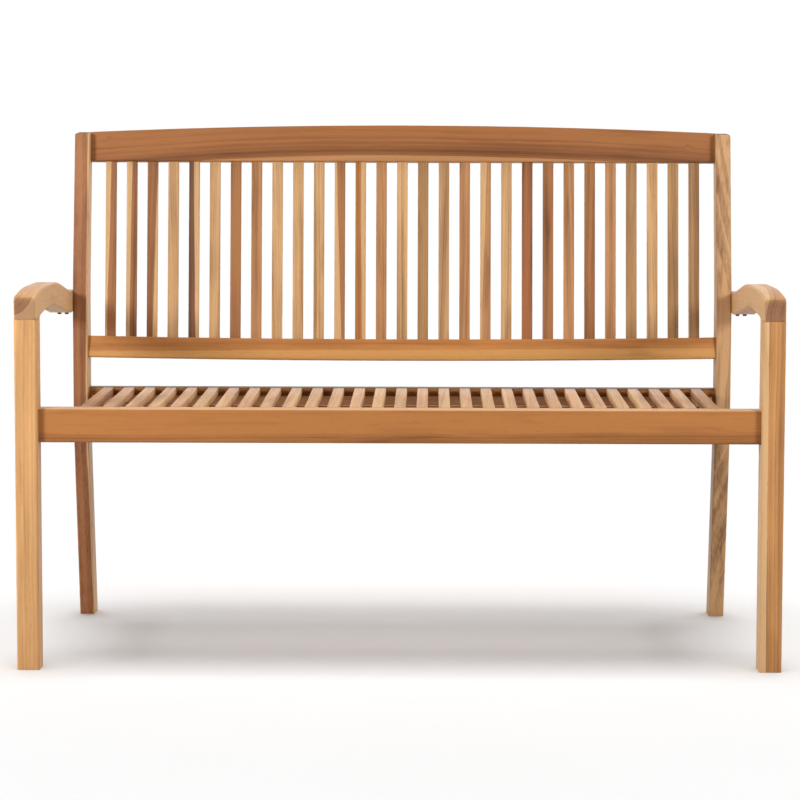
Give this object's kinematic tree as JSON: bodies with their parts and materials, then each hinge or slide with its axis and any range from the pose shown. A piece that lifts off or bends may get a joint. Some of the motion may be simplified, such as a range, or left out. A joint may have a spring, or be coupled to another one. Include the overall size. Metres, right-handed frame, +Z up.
{
  "type": "garden bench",
  "caption": "Two-seat wooden garden bench with slatted seat and leaning slatted back, crowned top rail and S-curved arms on straight front legs.",
  "frame": {"origin": "on the ground, below the middle of the bench's overall box", "axes": "+X along the bench to its right-hand end as seen from the front, +Y towards the back, +Z up; the front faces -Y"},
  "size_m": [1.285, 0.5546, 0.8927],
  "materials": {
    "leg_wood": "light golden hardwood, sanded and oiled",
    "arm_wood": "mid-brown hardwood, sanded and oiled",
    "post_wood": "red-brown hardwood with pale edges, sanded and oiled",
    "rail_wood": "orange-brown hardwood with long grain, sanded and oiled",
    "seat_wood": "pale hardwood slats, sanded and oiled",
    "back_wood": "hardwood slats in mixed heartwood and sapwood, sanded and oiled",
    "peg_wood": "pale hardwood dowel, end grain",
    "steel": "stainless steel, brushed",
    "bumper_rubber": "black rubber, matt"
  },
  "bodies": {
    "root": {"front_leg_left": "leg_wood", "front_leg_right": "leg_wood", "back_post_left": "post_wood", "back_post_right": "post_wood", "arm_left": "arm_wood", "arm_right": "arm_wood", "front_rail": "rail_wood", "rear_seat_rail": "rail_wood", "front_ledger": "rail_wood", "rear_ledger": "rail_wood", "seat_bearer_left": "rail_wood", "seat_bearer_right": "rail_wood", "seat_mid_rail": "rail_wood", "lower_back_rail": "rail_wood", "top_rail": "rail_wood", "seat_slat_0": "seat_wood", "seat_slat_1": "seat_wood", "seat_slat_2": "seat_wood", "seat_slat_3": "seat_wood", "seat_slat_4": "seat_wood", "seat_slat_5": "seat_wood", "seat_slat_6": "seat_wood", "seat_slat_7": "seat_wood", "seat_slat_8": "seat_wood", "seat_slat_9": "seat_wood", "seat_slat_10": "seat_wood", "seat_slat_11": "seat_wood", "seat_slat_12": "seat_wood", "seat_slat_13": "seat_wood", "seat_slat_14": "seat_wood", "back_slat_0": "back_wood", "back_slat_1": "back_wood", "back_slat_2": "back_wood", "back_slat_3": "back_wood", "back_slat_4": "back_wood", "back_slat_5": "back_wood", "back_slat_6": "back_wood", "back_slat_7": "back_wood", "back_slat_8": "back_wood", "back_slat_9": "back_wood", "back_slat_10": "back_wood", "back_slat_11": "back_wood", "back_slat_12": "back_wood", "back_slat_13": "back_wood", "back_slat_14": "back_wood", "arm_bolts": "steel", "arm_bolt_nuts": "steel", "arm_bumpers": "bumper_rubber", "seat_screws": "steel", "ledger_screws": "steel", "joint_pegs": "peg_wood"}
  },
  "joints": []
}
